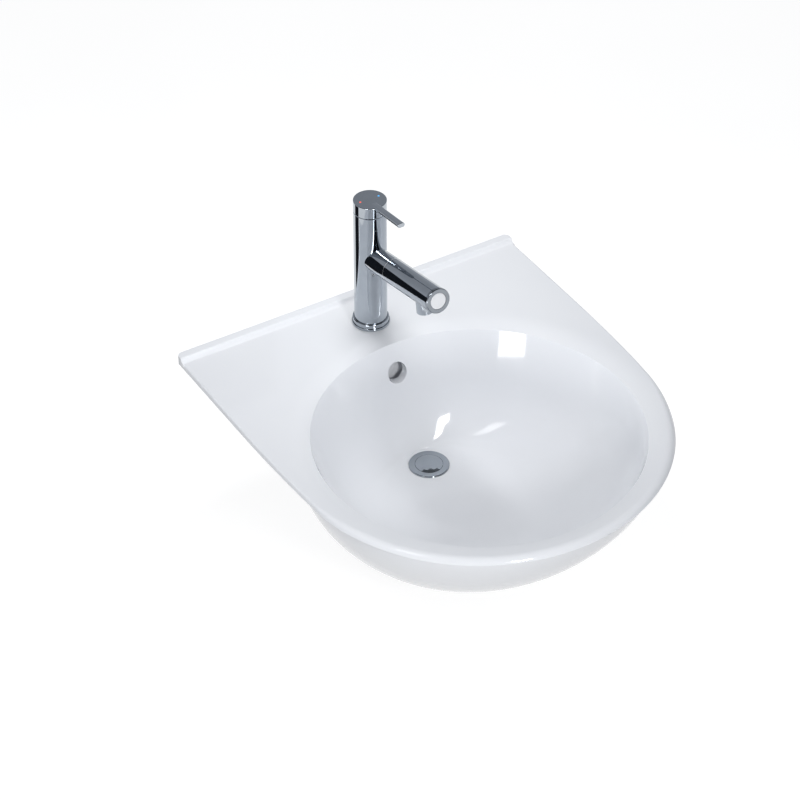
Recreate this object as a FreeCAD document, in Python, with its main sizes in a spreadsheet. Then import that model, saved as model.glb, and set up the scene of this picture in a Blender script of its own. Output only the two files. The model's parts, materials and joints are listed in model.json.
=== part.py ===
import FreeCAD, Part
import Sketcher
import math
import os

# Semi recessed wash basin of vitreous china with a pull-out mixer tap and a push-open waste.
# Millimetres. X runs to the right, Y towards the wall, Z up.
# The origin is on the centre line, at the wall face, level with the seat on the counter.

Vector = FreeCAD.Vector
Rotation = FreeCAD.Rotation
Placement = FreeCAD.Placement

doc = FreeCAD.newDocument("SemiRecessedBasin")
sheet = doc.addObject("Spreadsheet::Sheet", "Sizes")

SIZES = (
    # china: outline and deck
    ("side_rim", 45.7, "deck beside the bowl, out to the straight sides"),
    ("front_rim", 32.3, "deck before the bowl, out to the nose before its edge is rounded"),
    ("straight_side", 178, "length of the straight sides from the wall"),
    ("nose_rim", 39.2, "elliptical nose beyond the bowl's rim, beside the bowl's centre"),
    ("nose_shoulder", 34, "angle round the nose from which its edge is fully rounded"),
    ("corner_round", 8, "rounding of the two rear corners in plan"),
    ("deck_height", 7.5, "flat deck above the seat"),
    ("side_edge_round", 3, "rounding of the deck's edge on the sides"),
    ("nose_edge_round", 11, "rounding of the deck's edge round the front"),
    ("upstand_height", 14, "rear ledge above the seat"),
    ("upstand_width", 11, "rear ledge, front to back"),
    ("upstand_round", 2.5, "rounding of the ledge's front edge"),
    ("upstand_cove", 8.5, "hollow between the ledge and the deck"),
    ("cove_sink", 0.3, "lowest line of that hollow below the deck"),
    # china: bowl
    ("bowl_rear", 124.1, "rear of the bowl's rim from the wall face"),
    ("bowl_radius", 229.3, "bowl's rim"),
    ("bowl_edge_height", 2, "bowl's rim above the seat"),
    ("bowl_edge_round", 2.5, "rounding of the bowl's rim"),
    ("dish_width", 32, "band round the bowl that falls towards it"),
    ("upper_depth", 38, "bowl's first level below the seat"),
    ("upper_rear", 141, "its rear from the wall face"),
    ("upper_front", 11.7, "its front behind the front of the bowl's rim"),
    ("middle_depth", 80, "bowl's second level below the seat"),
    ("middle_rear", 156, "its rear from the wall face"),
    ("middle_front", 44.7, "its front behind the front of the bowl's rim"),
    ("lower_depth", 110, "bowl's third level below the seat"),
    ("lower_rear", 170, "its rear from the wall face"),
    ("lower_front", 92.7, "its front behind the front of the bowl's rim"),
    ("foot_depth", 130, "bowl's fourth level below the seat"),
    ("foot_rear", 183, "its rear from the wall face"),
    ("foot_front", 152.7, "its front behind the front of the bowl's rim"),
    ("sump_depth", 142, "bowl's fifth level below the seat"),
    ("sump_rear", 191, "its rear from the wall face"),
    ("sump_front", 240.7, "its front behind the front of the bowl's rim"),
    ("bowl_floor_depth", 146, "bowl's floor at the waste, below the seat"),
    ("bowl_floor_radius", 33, "flat round the waste"),
    ("drain_from_wall", 227, "waste's axis from the wall face"),
    ("bowl_wall", 11, "thickness of the bowl's wall"),
    # china: skirt and underside
    ("skirt_spread", 23.8, "skirt where it leaves the deck, beyond the bowl's rim"),
    ("skirt_shift", 4, "skirt's centre there in front of the bowl's"),
    ("skirt_neck", 6, "upright top of the skirt, beside which the counter lies"),
    ("skirt_depth", 165, "skirt's lower edge below the seat"),
    ("skirt_curve_depth", 225, "depth at which the skirt's curve would close"),
    ("skirt_lean", 0.244, "shift of the skirt towards the wall for each unit of depth"),
    ("skirt_bow", 1.7, "power of the skirt's curve"),
    ("skirt_wall", 11, "thickness of the skirt"),
    ("rim_thickness", 12, "china left under the seat between bowl and skirt"),
    ("boss_radius", 38, "drain boss"),
    ("boss_drop", 182, "underside of the drain boss below the seat"),
    ("drain_hole_radius", 22.7, "hole for the waste"),
    ("flange_recess", 2.5, "recess that takes the waste's flange"),
    ("recess_gap", 0.5, "round the flange in its recess"),
    ("platform_width", 112, "thick pad under the tap"),
    ("platform_drop", 9, "pad's underside below the seat"),
    ("platform_margin", 38, "pad in front of and behind the tap's axis"),
    # china: overflow
    ("overflow_radius", 15, "overflow hole"),
    ("overflow_depth", 38, "overflow's centre below the seat"),
    ("duct_width", 44, "overflow duct inside, across"),
    ("duct_gap", 15, "overflow duct inside, front to back"),
    ("duct_wall", 8, "walls of the overflow duct"),
    ("duct_head", 26, "duct above the overflow's centre"),
    # tap: place, foot and column; heights are above the seat
    ("tap_from_wall", 69, "tap's axis from the wall face"),
    ("tap_hole_radius", 17.5, "hole in the deck"),
    ("seal_thickness", 0.8, "rubber ring under the tap"),
    ("seal_gap", 0.5, "between that ring and the hole's edge"),
    ("base_radius", 27, "lower step of the foot ring"),
    ("base_flange", 3.4, "thickness of the lower step"),
    ("base_upper_radius", 25.9, "upper step of the foot ring"),
    ("base_height", 10.5, "foot ring in all"),
    ("base_floor", 2, "floor of the foot ring under the column"),
    ("base_round", 0.6, "rounding of the foot ring's lower step"),
    ("base_shoulder", 2.2, "rounding of the foot ring's upper step"),
    ("column_radius", 23.5, "tap's column and cap"),
    ("column_top", 198.8, "joint between column and cap"),
    ("lower_chamber_top", 62, "roof of the column's lower chamber"),
    ("cartridge_floor", 160, "floor of the cartridge's chamber"),
    ("port_radius", 4.5, "threaded ports in the column's foot, minor radius"),
    ("port_length", 12, "length of those threads"),
    ("port_spread", 8.9, "hot and cold ports from the axis, to the sides"),
    ("port_back", 1.5, "hot and cold ports behind the axis"),
    ("return_back", 9, "mixed water's port behind the axis"),
    ("waterway_radius", 3.2, "ways up to the cartridge"),
    ("waterway_place", 17, "those ways from the axis"),
    ("crossing_radius", 2.7, "level ways between ports and rising ways"),
    ("hose_way_radius", 6, "passage for the handset's hose"),
    ("hose_way_forward", 7.3, "that passage in front of the axis"),
    ("hose_bend_radius", 7, "its turn into the spout"),
    # tap: cartridge and handle
    ("cartridge_radius", 17.4, "ceramic disc cartridge"),
    ("cartridge_height", 21, "cartridge's case"),
    ("rotor_radius", 10.5, "turning part of the cartridge"),
    ("rotor_height", 11, "turning part of the cartridge"),
    ("rotor_sink", 5, "turning part inside the case"),
    ("rotor_clearance", 0.3, "round the turning part"),
    ("nut_thread_radius", 19.4, "ring nut that holds the cartridge"),
    ("nut_height", 8, "ring nut"),
    ("nut_bore", 12, "ring nut's opening"),
    ("stem_side", 6, "square stem of the cartridge"),
    ("stem_gap", 0.3, "on each side of the stem in its slot"),
    ("stem_bottom", 178.5, "stem's lower end"),
    ("stem_top", 215, "stem's top"),
    ("tilt_height", 183, "pin on which the stem and the handle tilt"),
    ("pin_radius", 1.25, "stem's pin"),
    ("pin_length", 18.8, "stem's pin"),
    ("pin_clearance", 0.05, "pin in the stem"),
    ("slot_half", 6, "half length of the rotor's slot"),
    ("slot_floor_gap", 1.2, "under the stem in that slot, for the tilt"),
    ("dome_wall", 2, "thickness of the dome"),
    ("dome_opening", 15.2, "radius of the dome's opening"),
    ("dome_gap", 0.4, "between the dome and the hollow of the cap"),
    ("cap_bottom", 200.3, "cap's lower edge"),
    ("cap_top", 217, "cap's top"),
    ("cap_round", 0.8, "rounding of the cap's top edge"),
    ("hub_radius", 5.5, "hub under the cap"),
    ("hub_bottom", 204, "hub's lower end"),
    ("lever_width", 11, "lever across"),
    ("lever_thickness", 6.4, "lever up and down"),
    ("lever_root", 10, "lever's root in front of the axis"),
    ("lever_end", 83, "lever's end in front of the axis"),
    ("lever_rise", 8, "lever's slope in degrees"),
    ("lever_height", 213.8, "middle of the lever's root"),
    ("lever_round", 0.6, "rounding of the lever's ends"),
    ("dot_radius", 1.4, "hot and cold marks"),
    ("dot_spread", 14.6, "marks from the axis, to the sides"),
    ("dot_back", 1.3, "marks behind the axis"),
    ("dot_depth", 0.8, "depth of the marks' inlay"),
    ("grub_radius", 2, "handle's set screw"),
    ("grub_length", 6, "handle's set screw"),
    ("grub_height", 213.5, "handle's set screw"),
    ("grub_hole_radius", 2.3, "hole behind the set screw"),
    # tap: spout and handset; places along the spout are from the tap's axis
    ("spout_height", 122.6, "spout's axis at the column"),
    ("spout_rise", 11, "spout's slope in degrees"),
    ("spout_radius", 18.2, "spout and handset"),
    ("socket_end", 64, "end of the fixed part of the spout"),
    ("socket_floor", 25, "bottom of the fixed part's bore"),
    ("bush_radius", 15.6, "bore of the fixed part"),
    ("slide_radius", 13.4, "spigot of the handset"),
    ("slide_clearance", 0.06, "spigot in the guide bush"),
    ("ring_radius", 18.35, "bright ring between socket and handset"),
    ("ring_thickness", 1.2, "that ring"),
    ("handset_gap", 0.3, "between the ring and the handset"),
    ("spout_end", 181.5, "handset's end"),
    ("handset_wall", 2.6, "wall of the handset's tube"),
    ("spigot_start", 29, "spigot's inner end"),
    ("spigot_grip", 20, "length of the spigot inside the handset"),
    ("spigot_bore", 10, "spigot's bore"),
    ("ring_seal_radius", 0.9, "section of the spigot's sealing rings"),
    ("ring_seal_place", 34, "first sealing ring"),
    ("ring_seal_pitch", 20, "between the sealing rings"),
    ("block_start", 112, "water block in the handset"),
    ("block_end", 158, "water block in the handset"),
    ("block_bore", 5, "way through the water block"),
    ("guide_rest", 4, "room behind the button's stem for its travel"),
    ("drop_bore", 4.2, "way down to the outlet"),
    ("end_ring_length", 5, "chrome ring at the handset's end"),
    ("end_ring_round", 1.2, "rounding of that ring"),
    ("button_radius", 11.7, "white selector button"),
    ("button_gap", 0.3, "round the button"),
    ("button_length", 8, "button's thickness"),
    ("button_proud", 0.2, "button beyond the end ring"),
    ("button_round", 0.8, "rounding of the button's edge"),
    ("button_stem_radius", 4, "button's stem"),
    ("button_stem_start", 151, "button's stem, inner end"),
    ("button_stem_clearance", 0.05, "stem in the water block"),
    ("button_spring_radius", 6.5, "button's spring, to the wire's middle"),
    ("button_spring_wire", 0.5, "radius of that wire"),
    ("button_spring_length", 12, "button's spring"),
    ("spring_turns", 5, "turns of the two springs"),
    ("outlet_place", 140.5, "outlet's axis"),
    ("outlet_radius", 11.2, "outlet's collar"),
    ("outlet_start", 9, "collar's inner end below the spout's axis"),
    ("outlet_end", 33, "collar's outer end below the spout's axis"),
    ("outlet_bore", 8.6, "collar's bore"),
    ("outlet_round", 0.7, "rounding of the collar's lip"),
    ("aerator_height", 9, "flow straightener"),
    ("aerator_recess", 1, "flow straightener inside the collar's lip"),
    ("aerator_hole", 0.9, "radius of its holes"),
    ("aerator_seal", 1.2, "seal above it"),
    ("keeper_radius", 2.2, "set screw below the spout"),
    ("keeper_length", 5, "set screw below the spout"),
    ("keeper_height", 105, "set screw below the spout"),
    ("keeper_turn", 20, "set screw to the left of the column's front, in degrees"),
    ("keeper_sink", 1, "set screw inside the column's face"),
    # tap: fixing under the deck
    ("shank_radius", 16.4, "threaded shank"),
    ("shank_bore", 14, "threaded shank"),
    ("shank_drop", 58, "shank's end below the seat"),
    ("shank_grip", 28, "length of the shank inside the column"),
    ("thread_clearance", 0.05, "between mating threads"),
    ("deck_washer_radius", 22.5, "rubber washer under the deck"),
    ("deck_washer_thickness", 3, "that washer"),
    ("clamp_washer_radius", 21.5, "steel washer under the rubber one"),
    ("clamp_washer_thickness", 1.5, "that washer"),
    ("shank_nut_flats", 41, "nut on the shank, across flats"),
    ("shank_nut_height", 11, "that nut"),
    # waste
    ("waste_radius", 29, "flange of the waste"),
    ("waste_flange_height", 2.9, "that flange"),
    ("waste_flange_round", 1.2, "rounding of that flange"),
    ("waste_seal_thickness", 1.2, "seal under the flange"),
    ("waste_seal_radius", 28, "that seal"),
    ("waste_neck_radius", 22.4, "plain neck below the flange"),
    ("waste_neck_drop", 152, "end of the neck below the seat"),
    ("waste_thread_radius", 20.95, "thread of the tail"),
    ("waste_bore", 18.4, "bore of the tail"),
    ("waste_drop", 232, "tail's end below the seat"),
    ("tail_relief_width", 1.6, "groove between the back nut's and the trap's thread"),
    ("tail_relief_depth", 0.8, "depth of that groove"),
    ("tail_relief_gap", 0.5, "from the back nut to that groove"),
    ("waste_slot_width", 16, "overflow slots in the tail"),
    ("waste_slot_top", 156, "top of the slots below the seat"),
    ("waste_slot_height", 14, "overflow slots in the tail"),
    ("plug_radius", 19.6, "plug"),
    ("plug_gap", 0.5, "round the plug"),
    ("plug_recess", 3.8, "recess for the plug in the flange"),
    ("plug_thickness", 3, "plug's rim"),
    ("plug_crown", 1.2, "rise of the plug's middle"),
    ("plug_stem_radius", 3.5, "plug's stem"),
    ("plug_stem_length", 26, "plug's stem"),
    ("plug_seal_inner", 17, "plug's seal"),
    ("plug_seal_thickness", 1, "plug's seal"),
    ("click_radius", 7.5, "case of the push-open mechanism"),
    ("click_top", 158, "top of that case below the seat"),
    ("click_bottom", 186, "bottom of that case below the seat"),
    ("click_floor", 2, "floor of that case"),
    ("click_clearance", 0.05, "round the plug's stem in that case"),
    ("arm_width", 5, "arms that hold the mechanism"),
    ("arm_height", 6, "those arms"),
    ("click_spring_radius", 2.5, "mechanism's spring, to the wire's middle"),
    ("click_spring_wire", 0.35, "radius of that wire"),
    ("tail_washer_radius", 33, "rubber washer under the boss"),
    ("tail_washer_thickness", 5, "that washer"),
    ("slip_washer_radius", 30, "slip washer above the back nut"),
    ("slip_washer_thickness", 1, "that washer"),
    ("back_nut_flats", 54, "back nut, across flats"),
    ("back_nut_height", 9, "back nut"),
)


def fill_sheet():
    for row, (name, number, note) in enumerate(SIZES, 1):
        sheet.set(f"A{row}", name)
        sheet.set(f"B{row}", str(number))
        sheet.set(f"C{row}", note)
        sheet.setAlias(f"B{row}", name)
    doc.recompute()


class Size:
    """A length or angle with its number and the sheet formula that gives it."""

    def __init__(self, number, text):
        self.number = float(number)
        self.text = text

    def __add__(self, other):
        other = as_size(other)
        return Size(self.number + other.number, f"({self.text} + {other.text})")

    def __sub__(self, other):
        other = as_size(other)
        return Size(self.number - other.number, f"({self.text} - {other.text})")

    def __mul__(self, other):
        other = as_size(other)
        return Size(self.number * other.number, f"({self.text} * {other.text})")

    def __truediv__(self, other):
        other = as_size(other)
        return Size(self.number / other.number, f"({self.text} / {other.text})")

    def __neg__(self):
        return Size(-self.number, f"(-{self.text})")

    def __rsub__(self, other):
        return as_size(other) - self

    __radd__ = __add__
    __rmul__ = __mul__


def as_size(value):
    if isinstance(value, Size):
        return value
    return Size(value, repr(float(value)))


def root_of(value):
    return Size(math.sqrt(value.number), f"sqrt({value.text})")


def sine(value):
    return Size(math.sin(math.radians(value.number)), f"sin({value.text})")


def cosine(value):
    return Size(math.cos(math.radians(value.number)), f"cos({value.text})")


fill_sheet()

REACH = 20  # how far cutting shapes pass the china that they cut


class Sheet:
    """Gives each size of the sheet by its name."""

    def __getattr__(self, name):
        return Size(sheet.get(name), f"Sizes.{name}")


S = Sheet()
nodes = []


# ---------------------------------------------------------------- building blocks


def bind(thing, path, value):
    thing.setExpression(path, as_size(value).text)


def move_to(thing, x=0, y=0, z=0, angle=None, axis=Vector(1, 0, 0)):
    """Places an object; x, y, z and the turn about axis may come from the sheet."""
    if angle is not None:
        thing.Placement = Placement(Vector(0, 0, 0), Rotation(axis, as_size(angle).number))
        bind(thing, "Placement.Rotation.Angle", angle)
    for letter, value in (("x", x), ("y", y), ("z", z)):
        bind(thing, f"Placement.Base.{letter}", value)


def origin_plane(body, role):
    return next(f for f in body.Origin.OriginFeatures if f.Role == role)


def new_body(label):
    body = doc.addObject("PartDesign::Body", label)
    body.Label = label
    return body


def new_sketch(body, role, name, lift=None):
    sketch = body.newObject("Sketcher::SketchObject", name)
    sketch.AttachmentSupport = [(origin_plane(body, role), "")]
    sketch.MapMode = "FlatFace"
    if lift is not None:
        bind(sketch, "AttachmentOffset.Base.z", lift)
    return sketch


def pin_along(sketch, geometry, end, kind, value):
    """Ties a point of a sketch to its distance from the origin along X or Y."""
    value = as_size(value)
    if value.text == "0.0":
        axis = -2 if kind == "DistanceX" else -1
        sketch.addConstraint(Sketcher.Constraint("PointOnObject", geometry, end, axis))
        return
    index = sketch.addConstraint(Sketcher.Constraint(kind, -1, 1, geometry, end, value.number))
    sketch.setExpression(f"Constraints[{index}]", value.text)


def pin_point(sketch, geometry, end, x, y):
    pin_along(sketch, geometry, end, "DistanceX", x)
    pin_along(sketch, geometry, end, "DistanceY", y)


def polygon(sketch, points):
    """Draws a closed polygon whose corners are all tied to the sheet."""
    first = sketch.GeometryCount
    count = len(points)
    for i in range(count):
        a, b = points[i], points[(i + 1) % count]
        start = Vector(as_size(a[0]).number, as_size(a[1]).number, 0)
        finish = Vector(as_size(b[0]).number, as_size(b[1]).number, 0)
        sketch.addGeometry(Part.LineSegment(start, finish), False)
    for i in range(count):
        following = first + (i + 1) % count
        sketch.addConstraint(Sketcher.Constraint("Coincident", first + i, 2, following, 1))
    for i in range(count):
        pin_point(sketch, first + i, 1, *points[i])


def circle(sketch, radius, x=0, y=0):
    radius, x, y = as_size(radius), as_size(x), as_size(y)
    index = sketch.addGeometry(
        Part.Circle(Vector(x.number, y.number, 0), Vector(0, 0, 1), radius.number), False)
    pin_point(sketch, index, 3, x, y)
    datum = sketch.addConstraint(Sketcher.Constraint("Radius", index, radius.number))
    sketch.setExpression(f"Constraints[{datum}]", radius.text)


def revolve(body, points, name="Profile"):
    """Turns a profile, given as radius and height, about the body's own Z axis."""
    sketch = new_sketch(body, "XZ_Plane", body.Label + name)
    polygon(sketch, points)
    feature = body.newObject("PartDesign::Revolution", body.Label + name + "Turned")
    feature.Profile = sketch
    feature.ReferenceAxis = (sketch, ["V_Axis"])
    feature.Angle = 360
    doc.recompute()
    return feature


def check_cut(body, before):
    if not body.Shape.Volume < before - 1e-3:
        raise RuntimeError(body.Label + ": a cut removed nothing")


def pad(body, draw, height, lift=None, name="Pad"):
    """Raises a sketch drawn on the body's XY plane, lifted from it by lift."""
    sketch = new_sketch(body, "XY_Plane", body.Label + name, lift)
    draw(sketch)
    feature = body.newObject("PartDesign::Pad", body.Label + name + "Raised")
    feature.Profile = sketch
    bind(feature, "Length", height)
    doc.recompute()
    return feature


def pocket(body, draw, depth, lift=None, name="Pocket"):
    """Cuts downwards from a sketch lifted above the body's XY plane by lift."""
    sketch = new_sketch(body, "XY_Plane", body.Label + name, lift)
    draw(sketch)
    before = body.Shape.Volume
    feature = body.newObject("PartDesign::Pocket", body.Label + name + "Cut")
    feature.Profile = sketch
    bind(feature, "Length", depth)
    doc.recompute()
    check_cut(body, before)
    return feature


def rectangle(x0, y0, x1, y1):
    return lambda sketch: polygon(sketch, [(x0, y0), (x1, y0), (x1, y1), (x0, y1)])


def hexagon(sketch, flats):
    corner = as_size(flats) / math.sqrt(3)
    polygon(sketch, [
        (corner * math.cos(math.radians(60 * k)), corner * math.sin(math.radians(60 * k)))
        for k in range(6)])


def ring_edges(shape, radius, height):
    """Names the circular edges about Z that have this radius and height."""
    radius, height = as_size(radius).number, as_size(height).number
    names = []
    for number, edge in enumerate(shape.Edges, 1):
        curve = edge.Curve
        if not isinstance(curve, Part.Circle):
            continue
        if abs(curve.Radius - radius) < 1e-3 and abs(curve.Center.z - height) < 1e-3:
            names.append(f"Edge{number}")
    return names


def soften(body, radius, rings):
    """Rounds the circular edges listed as radius and height."""
    names = []
    for ring in rings:
        names += ring_edges(body.Shape, *ring)
    if not names:
        raise RuntimeError(body.Label + ": no edge to round")
    last = body.Tip
    feature = body.newObject("PartDesign::Fillet", body.Label + "Round")
    feature.Base = (last, names)
    bind(feature, "Radius", radius)
    doc.recompute()
    return feature


def cylinder(label, radius, height):
    thing = doc.addObject("Part::Cylinder", label)
    bind(thing, "Radius", radius)
    bind(thing, "Height", height)
    return thing


def join(label, things):
    fused = doc.addObject("Part::MultiFuse", label)
    fused.Shapes = things
    fused.Refine = True
    return fused


def cut(label, base, tools):
    """Takes the tools away from the base, one after the other."""
    for number, tool in enumerate(tools, 1):
        name = label if number == len(tools) else f"{label}Cut{number}"
        result = doc.addObject("Part::Cut", name)
        result.Base = base
        result.Tool = tool
        base = result
    return result


def solid(label, shape, at=Vector(0, 0, 0)):
    """Keeps a shape made here as an object of the document, placed afterwards."""
    feature = doc.addObject("Part::Feature", label)
    feature.Shape = shape
    feature.Placement = Placement(at, Rotation())
    return feature


def node(thing, label):
    thing.Label = label
    nodes.append(thing)
    return thing


def coil(radius, wire, height, turns):
    """A spring about Z whose lowest turn starts on z = 0, as one unbroken wire."""
    pitch = (height - 2 * wire) / turns
    helix = Part.makeLongHelix(pitch, pitch * turns, radius, 0)
    section = Part.Wire(Part.makeCircle(wire, Vector(radius, 0, 0), Vector(0, 1, 0)))
    return Part.Wire(helix.Edges).makePipeShell([section], True, True)


def tube(outer, inner, low, high):
    """Corners of a tube's wall, as radius and height."""
    return [(inner, low), (outer, low), (outer, high), (inner, high)]


def turned(label, points, rounding=None, rings=()):
    """A body turned about its own Z axis, with some of its edges rounded."""
    body = new_body(label)
    revolve(body, points)
    if rounding is not None:
        soften(body, rounding, rings)
    return body


def ring(label, outer, inner, height, lift=0):
    return turned(label, tube(outer, inner, lift, lift + as_size(height)))


def rod(label, radius, height, lift=0):
    lift = as_size(lift)
    return turned(label, [(0, lift), (radius, lift), (radius, lift + height), (0, lift + height)])


def at_tap(thing, x=0, y=0, z=0, **turn):
    """Places a thing from the tap's axis at the level of the seat."""
    move_to(thing, x, as_size(y) - S.tap_from_wall, z, **turn)
    return thing


def on_spout(thing, along=0):
    """Stands a thing's Z axis along the spout, starting at a distance from the tap's axis."""
    along = as_size(along)
    at_tap(thing, 0, -(along * cosine(S.spout_rise)),
           S.spout_height + along * sine(S.spout_rise), angle=90 - S.spout_rise)
    return thing


def at_drain(thing, z=0):
    move_to(thing, 0, -S.drain_from_wall, z)
    return thing


# ---------------------------------------------------------------- china


def bowl_from_wall():
    """The bowl's centre from the wall face."""
    return S.bowl_rear + S.bowl_radius


def bowl_front():
    """The front of the bowl's rim from the wall face."""
    return bowl_from_wall() + S.bowl_radius


def basin_width():
    return (S.bowl_radius + S.side_rim) * 2


def basin_depth():
    return bowl_front() + S.front_rim


def nose_half_width():
    return S.bowl_radius + S.nose_rim


def skirt_radius():
    return S.bowl_radius + S.skirt_spread


def skirt_from_wall():
    return bowl_from_wall() + S.skirt_shift


def nose_arc():
    """The long side arc and the elliptical nose meet where their tangents agree.

    Returns the join's x and y from the bowl's centre, and the arc's radius."""
    half = basin_width().number / 2
    a = nose_half_width().number
    b = basin_depth().number - bowl_from_wall().number
    start = bowl_from_wall().number - S.straight_side.number

    def miss(turn):
        x = a * math.cos(turn)
        drop = start + b * math.sin(turn)
        slope = a * math.sin(turn) / (b * math.cos(turn))
        return half - x - drop * math.sin(math.atan(slope)) / (1 + math.cos(math.atan(slope)))

    low, high = 1e-6, 1.0
    for _ in range(60):
        middle = (low + high) / 2
        if miss(low) * miss(middle) <= 0:
            high = middle
        else:
            low = middle
    turn = (low + high) / 2
    drop = start + b * math.sin(turn)
    slope = math.atan(a * math.sin(turn) / (b * math.cos(turn)))
    return turn, drop / math.sin(slope)


def half_outline():
    """Edges of the right half of the deck's outline, from the wall to the nose, at z = 0."""
    half = basin_width().number / 2
    a = nose_half_width().number
    b = basin_depth().number - bowl_from_wall().number
    centre = Vector(0, -bowl_from_wall().number, 0)
    turn, radius = nose_arc()
    corner = S.corner_round.number
    diagonal = corner * (1 - math.sqrt(0.5))
    arc_centre = Vector(half - radius, -S.straight_side.number, 0)
    join_y = centre.y - b * math.sin(turn)
    swing = math.asin((arc_centre.y - join_y) / radius)
    ellipse = Part.Ellipse(centre, a, b)
    shoulder = 2 * math.pi - math.radians(S.nose_shoulder.number)

    def on_arc(share):
        angle = swing * share
        return arc_centre + Vector(radius * math.cos(angle), -radius * math.sin(angle), 0)

    return [
        Part.LineSegment(Vector(0, 0, 0), Vector(half - corner, 0, 0)).toShape(),
        Part.Arc(Vector(half - corner, 0, 0), Vector(half - diagonal, -diagonal, 0),
                 Vector(half, -corner, 0)).toShape(),
        Part.LineSegment(Vector(half, -corner, 0), on_arc(0)).toShape(),
        Part.Arc(on_arc(0), on_arc(0.4), on_arc(0.8)).toShape(),
        Part.Arc(on_arc(0.8), on_arc(0.9), on_arc(1)).toShape(),
        Part.ArcOfEllipse(ellipse, shoulder, 2 * math.pi - turn).toShape(),
        Part.ArcOfEllipse(ellipse, 1.5 * math.pi, shoulder).toShape(),
        Part.LineSegment(centre + Vector(0, -b, 0), Vector(0, 0, 0)).toShape(),
    ]


def deck_height_at(distance):
    """Height of the deck's top at a distance from the bowl's centre: a dish, then flat."""
    fall = S.deck_height.number - S.bowl_edge_height.number
    share = (distance - S.bowl_radius.number) / S.dish_width.number
    return S.deck_height.number - fall * max(0.0, 1 - share) ** 2


def deck_top_limit(base):
    """The space under the deck's top surface, turned about the bowl's centre."""
    inner = S.bowl_radius.number - REACH
    outer = basin_depth().number + REACH
    steps = 30
    points = []
    for k in range(steps + 1):
        distance = inner + (outer - inner) * (k / steps) ** 1.5
        points.append(Vector(-distance, 0, deck_height_at(distance)))
    curve = Part.BSplineCurve()
    curve.buildFromPoles(points)
    first, last = points[0], points[-1]
    edges = [
        Part.LineSegment(Vector(0, 0, base), Vector(0, 0, first.z)).toShape(),
        Part.LineSegment(Vector(0, 0, first.z), first).toShape(),
        curve.toShape(),
        Part.LineSegment(last, Vector(last.x, 0, base)).toShape(),
        Part.LineSegment(Vector(last.x, 0, base), Vector(0, 0, base)).toShape(),
    ]
    face = Part.Face(Part.Wire(edges))
    shape = face.revolve(Vector(0, 0, 0), Vector(0, 0, 1), 360)
    shape.translate(Vector(0, -bowl_from_wall().number, 0))
    return shape


def bowl_sections():
    """Level circles of the bowl, from the rim down, as radius, y and z."""
    rim = S.bowl_radius.number
    sections = [(rim, -bowl_from_wall().number, S.bowl_edge_height.number)]
    for depth, rear, front in (
            (S.upper_depth, S.upper_rear, S.upper_front),
            (S.middle_depth, S.middle_rear, S.middle_front),
            (S.lower_depth, S.lower_rear, S.lower_front),
            (S.foot_depth, S.foot_rear, S.foot_front),
            (S.sump_depth, S.sump_rear, S.sump_front)):
        end = bowl_front().number - front.number
        radius = (end - rear.number) / 2
        middle = (end + rear.number) / 2
        sections.append((radius, -middle, -depth.number))
    floor = S.bowl_floor_radius.number
    sections.append((floor, -S.drain_from_wall.number, -S.bowl_floor_depth.number))
    return sections


def offset_sections(sections, distance):
    """Moves level circles outwards, square to the surface; negative goes inwards."""
    moved = []
    for k, (r, y, z) in enumerate(sections):
        before = sections[max(k - 1, 0)]
        after = sections[min(k + 1, len(sections) - 1)]
        run = after[0] - before[0]
        fall = before[2] - after[2]
        length = math.hypot(run, fall)
        moved.append((r + distance * fall / length, y, z + distance * run / length))
    return moved


def skirt_sections(deepest):
    """Level circles of the skirt from its neck down to a depth, as radius, y and z."""
    steps = 8
    neck = S.skirt_neck.number
    sections = []
    for k in range(steps + 1):
        depth = neck + (deepest - neck) * k / steps
        share = depth / S.skirt_curve_depth.number
        radius = skirt_radius().number * math.sqrt(1 - share ** S.skirt_bow.number)
        y = -skirt_from_wall().number + S.skirt_lean.number * depth
        sections.append((radius, y, -depth))
    return sections


def loft(sections):
    wires = [Part.Wire(Part.makeCircle(r, Vector(0, y, z), Vector(0, 0, 1)))
             for r, y, z in sections]
    return Part.makeLoft(wires, True, False)


def raise_top(sections, length):
    """Carries the first level circle on upwards along its own slope."""
    r, y, z = sections[0]
    r2, y2, z2 = sections[1]
    share = length / (z - z2)
    return [(r + (r - r2) * share, y + (y - y2) * share, z + length)] + sections


def upright(radius, y, low, high):
    return Part.makeCylinder(radius, high - low, Vector(0, y, low))


def deck_half():
    """Right half of the deck with its dished top and its rounded edge."""
    base = -3 * S.nose_edge_round.number
    outline = half_outline()
    height = S.deck_height.number - base + REACH
    prism = Part.Face(Part.Wire(outline)).extrude(Vector(0, 0, height))
    prism.translate(Vector(0, 0, base))
    half = prism.common(deck_top_limit(base - REACH))
    side = S.side_edge_round.number
    nose = S.nose_edge_round.number
    radii = ((side, side),) * 4 + ((nose, side), (nose, nose + 1))
    chosen = []
    for number, edge in enumerate(half.Edges, 1):
        middle = edge.valueAt((edge.FirstParameter + edge.LastParameter) / 2)
        if middle.z < 0:
            continue
        foot = Part.Vertex(middle.x, middle.y, 0)
        for below, pair in zip(outline[1:7], radii):
            if foot.distToShape(below)[0] < 0.01 and edge.Length > 5:
                chosen.append((number,) + pair)
    rounded = doc.addObject("Part::Fillet", "DeckEdge")
    rounded.Base = solid("DeckBlank", half)
    rounded.Edges = chosen
    doc.recompute()
    return rounded.Shape


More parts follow.
